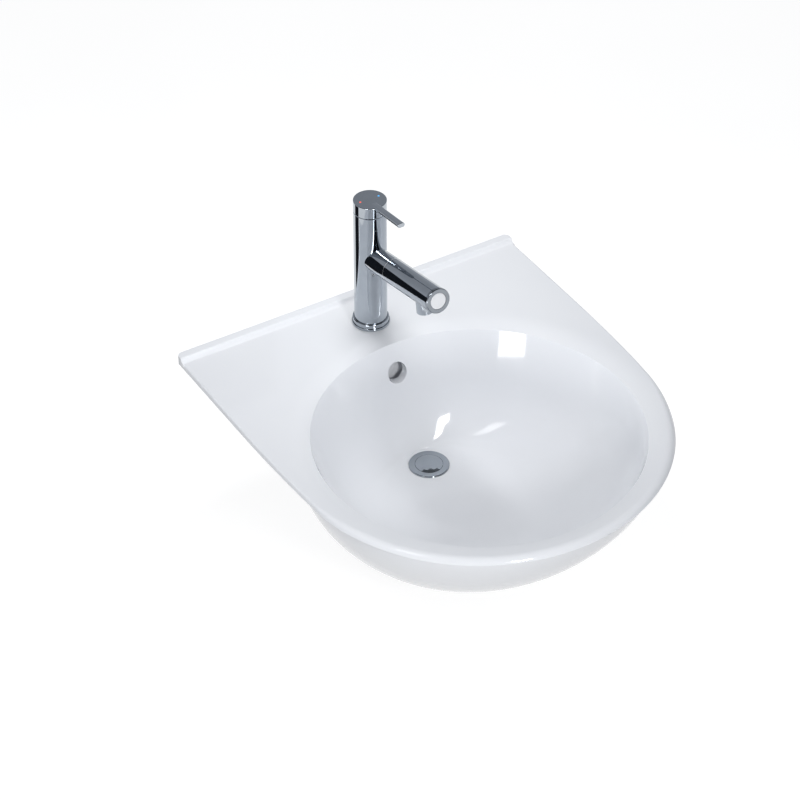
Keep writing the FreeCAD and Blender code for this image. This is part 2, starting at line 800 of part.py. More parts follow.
def upstand():
    """Ledge along the wall: a flat top, a rounded front edge and a cove to the deck."""
    top = S.upstand_height.number
    flat = S.upstand_width.number
    convex = S.upstand_round.number
    concave = S.upstand_cove.number
    deck = S.deck_height.number - S.cove_sink.number
    reach = convex + concave
    rise = top - deck - reach
    run = math.sqrt(reach ** 2 - rise ** 2)
    high = Vector(0, -flat, top - convex)
    inside = deck / 2
    low = Vector(0, -flat - run, deck + concave)
    towards = (high - low).normalize()
    touch = low + towards * concave
    upward = Vector(0, 0, 1)
    convex_middle = high + ((upward - towards).normalize()) * convex
    concave_middle = low + ((towards - upward).normalize()) * concave
    edges = [
        Part.LineSegment(Vector(0, 0, inside), Vector(0, 0, top)).toShape(),
        Part.LineSegment(Vector(0, 0, top), Vector(0, -flat, top)).toShape(),
        Part.Arc(Vector(0, -flat, top), convex_middle, touch).toShape(),
        Part.Arc(touch, concave_middle, Vector(0, -flat - run, deck)).toShape(),
        Part.LineSegment(Vector(0, -flat - run, deck), Vector(0, -flat - run, inside)).toShape(),
        Part.LineSegment(Vector(0, -flat - run, inside), Vector(0, 0, inside)).toShape(),
    ]
    width = basin_width().number
    bar = Part.Face(Part.Wire(edges)).extrude(Vector(width, 0, 0))
    bar.translate(Vector(-width / 2, 0, 0))
    corner = S.corner_round.number
    plan = Part.makeBox(width, 2 * width, 3 * top, Vector(-width / 2, -2 * width, -top))
    corners = [e for e in plan.Edges
               if abs(e.BoundBox.YMin) < 1e-6 and e.BoundBox.ZLength > top]
    return bar.common(plan.makeFillet(corner, corners))


def rear_profile(distance):
    """Line down the back of the bowl to the waste, moved off the bowl by distance."""
    points = [(y + r, z) for r, y, z in bowl_sections()]
    points.append((-S.drain_from_wall.number, -S.bowl_floor_depth.number))
    moved = []
    for k, (y, z) in enumerate(points):
        before = points[max(k - 1, 0)]
        after = points[min(k + 1, len(points) - 1)]
        along = Vector(0, after[0] - before[0], after[1] - before[1]).normalize()
        moved.append(Vector(0, y - along.z * distance, z + along.y * distance))
    return moved


def band(near, far, width, top):
    """A strip of the given width behind the bowl, between two distances from it."""
    outline = rear_profile(near) + list(reversed(rear_profile(far)))
    face = Part.Face(Part.makePolygon(outline + [outline[0]]))
    strip = face.extrude(Vector(width, 0, 0))
    strip.translate(Vector(-width / 2, 0, 0))
    limit = 2 * basin_depth().number
    return strip.common(Part.makeBox(width, limit, limit, Vector(-width / 2, -limit, top - limit)))


def china():
    wall = S.bowl_wall.number
    drain = -S.drain_from_wall.number
    tap = -S.tap_from_wall.number
    half = deck_half()
    whole = half.fuse(half.mirror(Vector(0, 0, 0), Vector(1, 0, 0))).removeSplitter()
    size = 2 * basin_depth().number
    deck = whole.common(Part.makeBox(size, size, size, Vector(-size / 2, -size, 0)))
    skirt_list = skirt_sections(S.skirt_depth.number)
    neck = upright(skirt_list[0][0], skirt_list[0][1], skirt_list[0][2],
                   S.bowl_edge_height.number / 2)
    shell = deck.fuse(upstand()).fuse(neck).fuse(loft(skirt_list))
    hollow = loft(offset_sections(skirt_sections(S.skirt_depth.number + REACH),
                                  -S.skirt_wall.number))
    hollow = hollow.common(Part.makeBox(
        size, size, size, Vector(-size / 2, -size, -S.rim_thickness.number - size)))
    shell = shell.cut(hollow)
    sections = bowl_sections()
    outside = offset_sections(sections, wall)
    outside[0] = (outside[0][0], outside[0][1], S.bowl_edge_height.number / 2)
    gap = S.duct_gap.number
    duct = band(wall / 2, wall + gap + S.duct_wall.number,
                S.duct_width.number + 2 * S.duct_wall.number, 1)
    boss = upright(S.boss_radius.number, drain, -S.boss_drop.number,
                   -S.bowl_floor_depth.number - 1)
    pad_width = S.platform_width.number
    margin = S.platform_margin.number
    platform = Part.makeBox(pad_width, 2 * margin, S.platform_drop.number + 1,
                            Vector(-pad_width / 2, tap - margin, -S.platform_drop.number))
    shell = shell.fuse([loft(outside), duct, boss, platform])
    shell = shell.cut(loft(raise_top(sections, REACH)))
    hole_depth = -S.overflow_depth.number
    rear = -S.upper_rear.number
    channel = band(wall, wall + gap, S.duct_width.number, hole_depth + S.duct_head.number)
    overflow = Part.makeCylinder(S.overflow_radius.number, 2 * wall + gap / 2,
                                 Vector(0, rear - wall, hole_depth), Vector(0, 1, 0))
    recess = upright(S.waste_radius.number + S.recess_gap.number, drain,
                     -S.bowl_floor_depth.number - S.flange_recess.number, 0)
    drain_hole = upright(S.drain_hole_radius.number, drain, -2 * S.boss_drop.number, 0)
    tap_hole = upright(S.tap_hole_radius.number, tap, -size, size)
    shell = shell.cut([channel, overflow, recess, drain_hole, tap_hole])
    rim = [e for e in shell.Edges if isinstance(e.Curve, Part.Circle)
           and abs(e.Curve.Radius - S.bowl_radius.number) < 0.5
           and abs(e.Curve.Center.z - S.bowl_edge_height.number) < 0.5]
    if rim:
        shell = shell.makeFillet(S.bowl_edge_round.number, rim)
    return node(solid("basin", shell.Solids[0]), "basin")


# ---------------------------------------------------------------- waste


def flange_seat():
    """Level on which the flange of the waste lies on its seal."""
    return -(S.bowl_floor_depth + S.flange_recess) + S.waste_seal_thickness


def plug_seat():
    """Level of the ledge inside the flange that carries the plug's seal."""
    return flange_seat() + S.waste_flange_height - S.plug_recess


def back_nut_under():
    """Depth of the back nut's underside below the seat."""
    return (S.boss_drop + S.tail_washer_thickness + S.slip_washer_thickness
            + S.back_nut_height)


def waste_flange():
    seat = flange_seat()
    top = seat + S.waste_flange_height
    relief = back_nut_under() + S.tail_relief_gap
    body = turned("waste_flange", [
        (S.waste_bore, -S.waste_drop),
        (S.waste_thread_radius, -S.waste_drop),
        (S.waste_thread_radius, -(relief + S.tail_relief_width)),
        (S.waste_thread_radius - S.tail_relief_depth, -(relief + S.tail_relief_width)),
        (S.waste_thread_radius - S.tail_relief_depth, -relief),
        (S.waste_thread_radius, -relief),
        (S.waste_thread_radius, -S.waste_neck_drop),
        (S.waste_neck_radius, -S.waste_neck_drop),
        (S.waste_neck_radius, seat),
        (S.waste_radius, seat),
        (S.waste_radius, top),
        (S.plug_radius + S.plug_gap, top),
        (S.plug_radius + S.plug_gap, plug_seat()),
        (S.waste_bore, plug_seat()),
    ], S.waste_flange_round, [(S.waste_radius, top)])
    half = S.waste_slot_width / 2
    reach = S.waste_radius
    sketch = new_sketch(body, "XZ_Plane", "WasteSlots")
    polygon(sketch, [
        (-half, -(S.waste_slot_top + S.waste_slot_height)),
        (half, -(S.waste_slot_top + S.waste_slot_height)),
        (half, -S.waste_slot_top),
        (-half, -S.waste_slot_top),
    ])
    before = body.Shape.Volume
    slots = body.newObject("PartDesign::Pocket", "WasteSlotsCut")
    slots.Profile = sketch
    slots.SideType = "Symmetric"
    bind(slots, "Length", reach * 2)
    doc.recompute()
    check_cut(body, before)
    return node(at_drain(body), "waste_flange")


def flange_seal():
    body = ring("flange_seal", S.waste_seal_radius, S.drain_hole_radius, S.waste_seal_thickness)
    return node(at_drain(body, flange_seat() - S.waste_seal_thickness), "flange_seal")


def waste_plug():
    """Plug with a shallow dome, made by stepping its radius down to the middle."""
    low = S.plug_seal_thickness
    rim = low + S.plug_thickness
    points = [(0, low), (S.plug_radius, low), (S.plug_radius, rim)]
    for k in (0.75, 0.5, 0.25):
        points.append((S.plug_radius * k, rim + S.plug_crown * (1 - k * k)))
    points.append((0, rim + S.plug_crown))
    body = turned("waste_plug", points)
    return node(at_drain(body, plug_seat()), "waste_plug")


def plug_seal():
    body = ring("plug_seal", S.plug_radius - S.plug_gap, S.plug_seal_inner,
                S.plug_seal_thickness)
    return node(at_drain(body, plug_seat()), "plug_seal")


def plug_stem():
    body = rod("plug_stem", S.plug_stem_radius, S.plug_stem_length)
    start = plug_seat() + S.plug_seal_thickness - S.plug_stem_length
    return node(at_drain(body, start), "plug_stem")


def click_carrier():
    """Case of the push-open mechanism and the two crossed arms that hold it in the tail."""
    case = cylinder("ClickCase", S.click_radius, S.click_bottom - S.click_top)
    arms = []
    for name, turn in (("ClickArmX", 0), ("ClickArmY", 90)):
        arm = doc.addObject("Part::Box", name)
        bind(arm, "Length", S.waste_bore * 2)
        bind(arm, "Width", S.arm_width)
        bind(arm, "Height", S.arm_height)
        if turn:
            arm.Placement = Placement(Vector(0, 0, 0), Rotation(Vector(0, 0, 1), turn))
            bind(arm, "Placement.Base.x", S.arm_width / 2)
            bind(arm, "Placement.Base.y", -S.waste_bore)
        else:
            bind(arm, "Placement.Base.x", -S.waste_bore)
            bind(arm, "Placement.Base.y", -(S.arm_width / 2))
        arms.append(arm)
    limit = cylinder("ClickLimit", S.waste_bore, S.click_bottom - S.click_top)
    within = doc.addObject("Part::MultiCommon", "ClickInside")
    within.Shapes = [join("ClickSolid", [case] + arms), limit]
    bore = cylinder("ClickBore", S.plug_stem_radius + S.click_clearance,
                    S.click_bottom - S.click_top)
    bind(bore, "Placement.Base.z", S.click_floor)
    carrier = cut("click_carrier", within, [bore])
    return node(at_drain(carrier, -S.click_bottom), "click_carrier")


def click_spring():
    floor = -S.click_bottom.number + S.click_floor.number
    end = plug_seat() + S.plug_seal_thickness - S.plug_stem_length
    wire = S.click_spring_wire.number
    shape = coil(S.click_spring_radius.number, wire, end.number - floor, S.spring_turns.number)
    place = Vector(0, -S.drain_from_wall.number, floor + wire)
    return node(solid("click_spring", shape, place), "click_spring")


def tail_washer():
    body = ring("tail_washer", S.tail_washer_radius,
                S.waste_thread_radius + S.thread_clearance, S.tail_washer_thickness)
    return node(at_drain(body, -(S.boss_drop + S.tail_washer_thickness)), "tail_washer")


def slip_washer():
    body = ring("slip_washer", S.slip_washer_radius,
                S.waste_thread_radius + S.thread_clearance, S.slip_washer_thickness)
    under = S.boss_drop + S.tail_washer_thickness + S.slip_washer_thickness
    return node(at_drain(body, -under), "slip_washer")


def hex_nut(label, flats, height, bore):
    body = new_body(label)
    pad(body, lambda sketch: hexagon(sketch, flats), height)
    pocket(body, lambda sketch: circle(sketch, bore), as_size(height) * 2, height)
    return body


def back_nut():
    body = hex_nut("back_nut", S.back_nut_flats, S.back_nut_height,
                   S.waste_thread_radius + S.thread_clearance)
    return node(at_drain(body, -back_nut_under()), "back_nut")


# ---------------------------------------------------------------- tap: foot and column


def tap_foot():
    """Level on which the foot ring stands on its seal."""
    return S.deck_height + S.seal_thickness


def column_foot():
    return tap_foot() + S.base_floor


def base_seal():
    body = ring("base_seal", S.base_upper_radius, S.tap_hole_radius + S.seal_gap, S.seal_thickness)
    return node(at_tap(body, z=S.deck_height), "base_seal")


def base_ring():
    body = turned("base_ring", [
        (S.shank_radius + S.thread_clearance, 0),
        (S.base_radius, 0),
        (S.base_radius, S.base_flange),
        (S.base_upper_radius, S.base_flange),
        (S.base_upper_radius, S.base_height),
        (S.column_radius, S.base_height),
        (S.column_radius, S.base_floor),
        (S.shank_radius + S.thread_clearance, S.base_floor),
    ], S.base_round, [(S.base_radius, S.base_flange)])
    soften(body, S.base_shoulder, [(S.base_upper_radius, S.base_height)])
    return node(at_tap(body, z=tap_foot()), "base_ring")


def tall(label, radius, low, high, x=0, y=0):
    """An upright cylinder at a place from the tap's axis."""
    low = as_size(low)
    thing = cylinder(label, radius, as_size(high) - low)
    move_to(thing, x, y, low)
    return thing


def leaning(label, radius, start, end):
    """A cylinder along the spout, in the tap's own frame."""
    start = as_size(start)
    thing = cylinder(label, radius, as_size(end) - start)
    move_to(thing, 0, -(start * cosine(S.spout_rise)),
            S.spout_height + start * sine(S.spout_rise), angle=90 - S.spout_rise)
    return thing


def crossing(label, start, end, height, sideways):
    """A level drilling that joins a port to its waterway, along X or along Y."""
    start = as_size(start)
    thing = cylinder(label, S.crossing_radius, as_size(end) - start)
    if sideways:
        move_to(thing, start, S.port_back, height, angle=90, axis=Vector(0, 1, 0))
    else:
        move_to(thing, 0, start, height, angle=-90, axis=Vector(1, 0, 0))
    return thing


def tap_body():
    """Column with its fixed spout socket, drilled for the water and the hose."""
    column = tall("Column", S.column_radius, column_foot(), S.column_top)
    socket = leaning("Socket", S.spout_radius, 0, S.socket_end)
    roof = S.lower_chamber_top
    ports_top = roof + S.port_length
    ways = ports_top + S.waterway_radius
    place = S.waterway_place
    tools = [
        tall("ShankThread", S.shank_radius + S.thread_clearance, 0,
             column_foot() + S.shank_grip),
        tall("LowerChamber", S.shank_bore, 0, roof),
        tall("HotPort", S.port_radius, 0, ports_top, -S.port_spread, S.port_back),
        tall("ColdPort", S.port_radius, 0, ports_top, S.port_spread, S.port_back),
        tall("ReturnPort", S.port_radius, 0, ports_top, 0, S.return_back),
        tall("HotRise", S.waterway_radius, roof, ways, -S.port_spread, S.port_back),
        tall("ColdRise", S.waterway_radius, roof, ways, S.port_spread, S.port_back),
        tall("ReturnRise", S.waterway_radius, roof, ways, 0, S.return_back),
        crossing("HotCross", -place, -S.port_spread, ports_top, True),
        crossing("ColdCross", S.port_spread, place, ports_top, True),
        crossing("ReturnCross", S.return_back, place, ports_top, False),
        tall("HotWay", S.waterway_radius, ports_top, S.column_top, -place, S.port_back),
        tall("ColdWay", S.waterway_radius, ports_top, S.column_top, place, S.port_back),
        tall("ReturnWay", S.waterway_radius, ports_top, S.column_top, 0, place),
        tall("HoseWay", S.hose_way_radius, roof / 2, S.spout_height, 0, -S.hose_way_forward),
        leaning("HoseBend", S.hose_bend_radius, S.hose_way_forward / 2, S.socket_end),
        leaning("SocketBore", S.bush_radius, S.socket_floor, S.socket_end * 2),
        tall("CartridgeSeat", S.cartridge_radius, S.cartridge_floor, S.cap_top),
        tall("NutThread", S.nut_thread_radius, S.cartridge_floor + S.cartridge_height,
             S.cap_top),
    ]
    tools.append(at_keeper(cylinder("KeeperHole", S.keeper_radius, S.column_radius),
                           S.keeper_length + S.keeper_sink, move_to))
    body = cut("tap_body", join("BodySolid", [column, socket]), tools)
    return node(at_tap(body), "tap_body")


def at_keeper(thing, depth, place):
    """Points a thing's Z axis out of the column's face, from a depth inside it."""
    start = S.column_radius - depth
    turn = S.keeper_turn.number
    across = Vector(math.cos(math.radians(turn)), -math.sin(math.radians(turn)), 0)
    place(thing, -(start * sine(S.keeper_turn)), -(start * cosine(S.keeper_turn)),
          S.keeper_height, angle=90, axis=across)
    return thing


def keeper_screw():
    body = new_body("keeper_screw")
    pad(body, lambda sketch: circle(sketch, S.keeper_radius), S.keeper_length)
    pocket(body, lambda sketch: hexagon(sketch, S.keeper_radius), S.keeper_length / 2,
           S.keeper_length)
    at_keeper(body, S.keeper_length + S.keeper_sink, at_tap)
    return node(body, "keeper_screw")


# ---------------------------------------------------------------- tap: cartridge and handle


def cartridge():
    """Ceramic cartridge: a case with notches for the waterways and a well for the rotor."""
    height = S.cartridge_height
    case = cylinder("CartridgeCase", S.cartridge_radius, height)
    well = cylinder("CartridgeWell", S.rotor_radius + S.rotor_clearance, height)
    bind(well, "Placement.Base.z", height - S.rotor_sink)
    tools = [well]
    notch = S.waterway_radius * 2
    for name, x, y in (
            ("NotchHot", -(S.waterway_place + S.waterway_radius), S.port_back - S.waterway_radius),
            ("NotchCold", S.waterway_place - S.waterway_radius, S.port_back - S.waterway_radius),
            ("NotchReturn", -S.waterway_radius, S.waterway_place - S.waterway_radius)):
        box = doc.addObject("Part::Box", name)
        for side in ("Length", "Width", "Height"):
            bind(box, side, notch)
        move_to(box, x, y, 0)
        tools.append(box)
    case_cut = cut("cartridge", case, tools)
    return node(at_tap(case_cut, z=S.cartridge_floor), "cartridge")


def case_top():
    return S.cartridge_floor + S.cartridge_height


def cartridge_nut():
    body = ring("cartridge_nut", S.nut_thread_radius, S.nut_bore, S.nut_height)
    return node(at_tap(body, z=case_top()), "cartridge_nut")


def rotor():
    """Turning part of the cartridge with the slot in which the stem tilts."""
    body = rod("cartridge_rotor", S.rotor_radius, S.rotor_height)
    half = S.stem_side / 2 + S.stem_gap
    low = case_top() - S.rotor_sink
    pocket(body, rectangle(-half, -S.slot_half, half, S.slot_half),
           low + S.rotor_height - S.stem_bottom + S.slot_floor_gap, S.rotor_height)
    sketch = new_sketch(body, "YZ_Plane", "PinHole")
    circle(sketch, S.pin_radius, 0, S.tilt_height - low)
    before = body.Shape.Volume
    hole = body.newObject("PartDesign::Pocket", "PinHoleCut")
    hole.Profile = sketch
    hole.SideType = "Symmetric"
    bind(hole, "Length", S.rotor_radius * 2)
    doc.recompute()
    check_cut(body, before)
    return node(at_tap(body, z=low), "cartridge_rotor")


def stem_pin():
    body = new_body("stem_pin")
    pad(body, lambda sketch: circle(sketch, S.pin_radius), S.pin_length)
    at_tap(body, x=-(S.pin_length / 2), z=S.tilt_height, angle=90, axis=Vector(0, 1, 0))
    return node(body, "stem_pin")


def stem():
    body = new_body("cartridge_stem")
    half = S.stem_side / 2
    pad(body, rectangle(-half, -half, half, half), S.stem_top - S.stem_bottom)
    sketch = new_sketch(body, "YZ_Plane", "StemPinHole")
    circle(sketch, S.pin_radius + S.pin_clearance, 0, S.tilt_height - S.stem_bottom)
    before = body.Shape.Volume
    hole = body.newObject("PartDesign::Pocket", "StemPinHoleCut")
    hole.Profile = sketch
    hole.SideType = "Symmetric"
    bind(hole, "Length", S.stem_side * 2)
    doc.recompute()
    check_cut(body, before)
    return node(at_tap(body, z=S.stem_bottom), "cartridge_stem")


def ball(label, radius):
    thing = doc.addObject("Part::Sphere", label)
    bind(thing, "Radius", radius)
    bind(thing, "Placement.Base.z", S.tilt_height)
    return thing


def dome_radius():
    """The dome runs into the column's wall at the joint."""
    rise = S.column_top - S.tilt_height
    return root_of(S.column_radius * S.column_radius + rise * rise)


def dome_cover():
    """Spherical cover over the cartridge, open in the middle for the stem."""
    reach = dome_radius() * 2
    below = tall("DomeBelow", reach, S.tilt_height - reach, S.column_top)
    opening = tall("DomeOpening", S.dome_opening, S.tilt_height, S.tilt_height + reach)
    cover = cut("dome_cover", ball("DomeOuter", dome_radius()),
                [ball("DomeInner", dome_radius() - S.dome_wall), below, opening])
    return node(at_tap(cover), "dome_cover")


def lever():
    """Flat pin with rounded sides that carries the hand."""
    body = new_body("lever")
    sketch = new_sketch(body, "XY_Plane", "LeverSection")
    round_off = S.lever_thickness / 2
    flat = S.lever_width / 2 - round_off
    top, side = round_off.number, flat.number
    sketch.addGeometry(Part.LineSegment(Vector(-side, top, 0), Vector(side, top, 0)), False)
    sketch.addGeometry(Part.ArcOfCircle(
        Part.Circle(Vector(side, 0, 0), Vector(0, 0, 1), top), -math.pi / 2, math.pi / 2), False)
    sketch.addGeometry(Part.LineSegment(Vector(side, -top, 0), Vector(-side, -top, 0)), False)
    sketch.addGeometry(Part.ArcOfCircle(
        Part.Circle(Vector(-side, 0, 0), Vector(0, 0, 1), top), math.pi / 2, 1.5 * math.pi), False)
    for a, a_end, b, b_end in ((0, 2, 1, 2), (1, 1, 2, 1), (2, 2, 3, 2), (3, 1, 0, 1)):
        sketch.addConstraint(Sketcher.Constraint("Coincident", a, a_end, b, b_end))
    pin_along(sketch, 1, 3, "DistanceX", flat)
    pin_along(sketch, 3, 3, "DistanceX", -flat)
    pin_point(sketch, 0, 1, -flat, round_off)
    pin_point(sketch, 0, 2, flat, round_off)
    pin_point(sketch, 2, 1, flat, -round_off)
    pin_point(sketch, 2, 2, -flat, -round_off)
    bar = body.newObject("PartDesign::Pad", "LeverBar")
    bar.Profile = sketch
    bind(bar, "Length", (S.lever_end - S.lever_root) / cosine(S.lever_rise))
    doc.recompute()
    ends = [f"Edge{n}" for n, e in enumerate(body.Shape.Edges, 1)
            if e.BoundBox.ZLength < 1e-6]
    rounding = body.newObject("PartDesign::Fillet", "LeverEnds")
    rounding.Base = (bar, ends)
    bind(rounding, "Radius", S.lever_round)
    doc.recompute()
    at_tap(body, y=-S.lever_root, z=S.lever_height, angle=90 - S.lever_rise)
    return node(body, "lever")


def mark(label, side):
    """Coloured dot let into the cap's top; side is -1 for hot and 1 for cold."""
    body = rod(label, S.dot_radius, S.dot_depth)
    at_tap(body, S.dot_spread * side, S.dot_back, S.cap_top - S.dot_depth)
    return node(body, label)


def handle_screw():
    body = new_body("handle_screw")
    pad(body, lambda sketch: circle(sketch, S.grub_radius), S.grub_length)
    pocket(body, lambda sketch: hexagon(sketch, S.grub_radius), S.grub_length / 2,
           S.grub_length)
    at_tap(body, y=S.stem_side / 2, z=S.grub_height, angle=-90)
    return node(body, "handle_screw")


def handle_cap(insets):
    """Cap that tilts on the dome, with seats for the lever, the marks, the stem and the screw."""
    cap = new_body("CapBlank")
    height = S.cap_top - S.cap_bottom
    revolve(cap, [(0, 0), (S.column_radius, 0), (S.column_radius, height), (0, height)])
    soften(cap, S.cap_round, [(S.column_radius, height)])
    at_tap(cap, z=S.cap_bottom)
    hollow = ball("CapHollow", dome_radius() + S.dome_gap)
    at_tap(hollow, z=S.tilt_height)
    hollowed = cut("CapHollowed", cap, [hollow])
    hub = cylinder("CapHub", S.hub_radius, S.stem_top - S.hub_bottom)
    at_tap(hub, z=S.hub_bottom)
    blank = join("CapWithHub", [hollowed, hub])
    key_hole = cylinder("CapKeyHole", S.grub_hole_radius, S.column_radius)
    at_tap(key_hole, y=S.stem_side / 2 + S.grub_length, z=S.grub_height, angle=-90)
    seat = doc.addObject("Part::Box", "StemSeat")
    bind(seat, "Length", S.stem_side)
    bind(seat, "Width", S.stem_side)
    bind(seat, "Height", S.stem_top - S.stem_bottom)
    at_tap(seat, -(S.stem_side / 2), -(S.stem_side / 2), S.stem_bottom)
    screw_seat = cylinder("ScrewSeat", S.grub_radius, S.grub_length)
    at_tap(screw_seat, y=S.stem_side / 2, z=S.grub_height, angle=-90)
    return node(cut("handle_cap", blank, [key_hole, seat, screw_seat] + insets), "handle_cap")


# ---------------------------------------------------------------- tap: spout and handset


def guide_bush():
    body = ring("guide_bush", S.bush_radius, S.slide_radius + S.slide_clearance,
                S.socket_end - S.socket_floor)
    return node(on_spout(body, S.socket_floor), "guide_bush")


def spout_ring():
    body = ring("spout_ring", S.ring_radius, S.slide_radius + S.slide_clearance,
                S.ring_thickness)
    return node(on_spout(body, S.socket_end), "spout_ring")


def handset_start():
    return S.socket_end + S.ring_thickness + S.handset_gap


def end_ring_start():
    return S.spout_end - S.end_ring_length


def handset_tube():
    """Chrome tube of the handset, with the hole for the outlet's collar."""
    start = handset_start()
    length = end_ring_start() - start
    outer = cylinder("HandsetOuter", S.spout_radius, length)
    inner = cylinder("HandsetInner", S.spout_radius - S.handset_wall, length)
    hole = cylinder("HandsetOutlet", S.outlet_radius, S.outlet_end)
    move_to(hole, 0, 0, S.outlet_place - start, angle=90)
    body = cut("handset_tube", outer, [inner, hole])
    return node(on_spout(body, start), "handset_tube")


def handset_spigot():
    """Tube that slides in the socket, with grooves for its two rings."""
    start = S.spigot_start
    shoulder = handset_start() - start
    end = shoulder + S.spigot_grip
    points = [(S.spigot_bore, 0), (S.slide_radius, 0)]
    depth = S.ring_seal_radius * 2
    for k in (0, 1):
        middle = S.ring_seal_place + S.ring_seal_pitch * k - start
        points.append((S.slide_radius, middle - S.ring_seal_radius))
        points.append((S.slide_radius - depth, middle - S.ring_seal_radius))
        points.append((S.slide_radius - depth, middle + S.ring_seal_radius))
        points.append((S.slide_radius, middle + S.ring_seal_radius))
    points.append((S.slide_radius, shoulder))
    points.append((S.spout_radius - S.handset_wall, shoulder))
    points.append((S.spout_radius - S.handset_wall, end))
    points.append((S.spigot_bore, end))
    body = turned("handset_spigot", points)
    return node(on_spout(body, start), "handset_spigot")


def spigot_rings():
    """The two sealing rings on the spigot."""
    rings = []
    for k in (0, 1):
        torus = doc.addObject("Part::Torus", f"SpigotRing{k}")
        bind(torus, "Radius1", S.slide_radius - S.ring_seal_radius)
        bind(torus, "Radius2", S.ring_seal_radius)
        bind(torus, "Placement.Base.z", S.ring_seal_pitch * k)
        rings.append(torus)
    both = doc.addObject("Part::Compound", "spigot_rings")
    both.Links = rings
    return node(on_spout(both, S.ring_seal_place), "spigot_rings")


def water_block():
    """Block that leads the water to the outlet and guides the button's stem."""
    start = S.block_start
    length = S.block_end - start
    solid_block = cylinder("BlockSolid", S.spout_radius - S.handset_wall, length)
    way = cylinder("BlockWay", S.block_bore, S.outlet_place - start + S.drop_bore / 2)
    guide = cylinder("BlockGuide", S.button_stem_radius + S.button_stem_clearance, length)
    bind(guide, "Placement.Base.z", S.button_stem_start - S.guide_rest - start)
    outlet = cylinder("BlockOutlet", S.outlet_radius, S.outlet_end)
    move_to(outlet, 0, -S.outlet_start, S.outlet_place - start, angle=90)
    drop = cylinder("BlockDrop", S.drop_bore, S.outlet_end)
    move_to(drop, 0, 0, S.outlet_place - start, angle=90)
    body = cut("water_block", solid_block, [way, guide, outlet, drop])
    return node(on_spout(body, start), "water_block")


def under_spout(thing, drop):
    """Stands a thing's Z axis square to the spout, downwards, at the outlet."""
    along, drop = S.outlet_place, as_size(drop)
    at_tap(thing, 0, -(along * cosine(S.spout_rise) + drop * sine(S.spout_rise)),
           S.spout_height + along * sine(S.spout_rise) - drop * cosine(S.spout_rise),
           angle=180 - S.spout_rise)
    return thing


def aerator_housing():
    height = S.outlet_end - S.outlet_start
    body = turned("aerator_housing", tube(S.outlet_radius, S.outlet_bore, 0, height),
                  S.outlet_round, [(S.outlet_radius, height)])
    return node(under_spout(body, S.outlet_start), "aerator_housing")


def aerator_place():
    return S.outlet_end - S.aerator_recess - S.aerator_height


def aerator_insert():
    """Flow straightener: a disc with a middle hole and two rings of holes."""
    body = rod("aerator_insert", S.outlet_bore, S.aerator_height)

    def holes(sketch):
        circle(sketch, S.aerator_hole)
        for count, place in ((6, 0.38), (12, 0.74)):
            for k in range(count):
                angle = 2 * math.pi * (k + 0.5) / count
                circle(sketch, S.aerator_hole, S.outlet_bore * (place * math.cos(angle)),
                       S.outlet_bore * (place * math.sin(angle)))

    pocket(body, holes, S.aerator_height * 2, S.aerator_height)
    return node(under_spout(body, aerator_place()), "aerator_insert")


def aerator_seal():
    body = ring("aerator_seal", S.outlet_bore, S.drop_bore, S.aerator_seal)
    return node(under_spout(body, aerator_place() - S.aerator_seal), "aerator_seal")


def end_ring():
    length = S.end_ring_length
    body = turned("handset_end_ring", tube(S.spout_radius, S.button_radius + S.button_gap,
                                           0, length),
                  S.end_ring_round, [(S.spout_radius, length)])
    return node(on_spout(body, end_ring_start()), "handset_end_ring")


def selector_button():
    end = S.spout_end + S.button_proud
    start = S.button_stem_start
    length = end - start
    neck = length - S.button_length
    body = turned("selector_button", [
        (0, 0), (S.button_stem_radius, 0), (S.button_stem_radius, neck),
        (S.button_radius, neck), (S.button_radius, length), (0, length),
    ], S.button_round, [(S.button_radius, length)])
    return node(on_spout(body, start), "selector_button")


def button_spring():
    shape = coil(S.button_spring_radius.number, S.button_spring_wire.number,
                 S.button_spring_length.number, S.spring_turns.number)
    spring = solid("button_spring", shape)
    return node(on_spout(spring, S.block_end + S.button_spring_wire), "button_spring")


# ---------------------------------------------------------------- tap: fixing under the deck


def mounting_shank():
    low = -S.shank_drop
    body = ring("mounting_shank", S.shank_radius, S.shank_bore,
                column_foot() + S.shank_grip - low)
    return node(at_tap(body, z=low), "mounting_shank")


def under_deck_washer():
    body = ring("under_deck_washer", S.deck_washer_radius,
                S.shank_radius + S.thread_clearance, S.deck_washer_thickness)
    under = S.platform_drop + S.deck_washer_thickness
    return node(at_tap(body, z=-under), "under_deck_washer")


def clamp_washer():
    body = ring("clamp_washer", S.clamp_washer_radius,
                S.shank_radius + S.thread_clearance, S.clamp_washer_thickness)
    under = S.platform_drop + S.deck_washer_thickness + S.clamp_washer_thickness
    return node(at_tap(body, z=-under), "clamp_washer")


def shank_nut():
    body = hex_nut("shank_nut", S.shank_nut_flats, S.shank_nut_height,
                   S.shank_radius + S.thread_clearance)
    under = (S.platform_drop + S.deck_washer_thickness + S.clamp_washer_thickness
             + S.shank_nut_height)
    return node(at_tap(body, z=-under), "shank_nut")


# ---------------------------------------------------------------- everything together


def build():
    china()
    waste_flange()
    flange_seal()
    waste_plug()
    plug_seal()
    plug_stem()
    click_carrier()
    click_spring()
    tail_washer()
    slip_washer()
    back_nut()
    base_seal()
    base_ring()
    tap_body()
    keeper_screw()
    cartridge()
    cartridge_nut()
    rotor()
    stem_pin()
    stem()
    dome_cover()
    insets = [lever(), mark("hot_mark", -1), mark("cold_mark", 1)]
    handle_screw()
    handle_cap(insets)
    guide_bush()
    spout_ring()
    handset_tube()
    handset_spigot()
    spigot_rings()
    water_block()
    aerator_housing()
    aerator_insert()
    aerator_seal()
    end_ring()
    selector_button()
    button_spring()
    mounting_shank()
    under_deck_washer()
    clamp_washer()
    shank_nut()


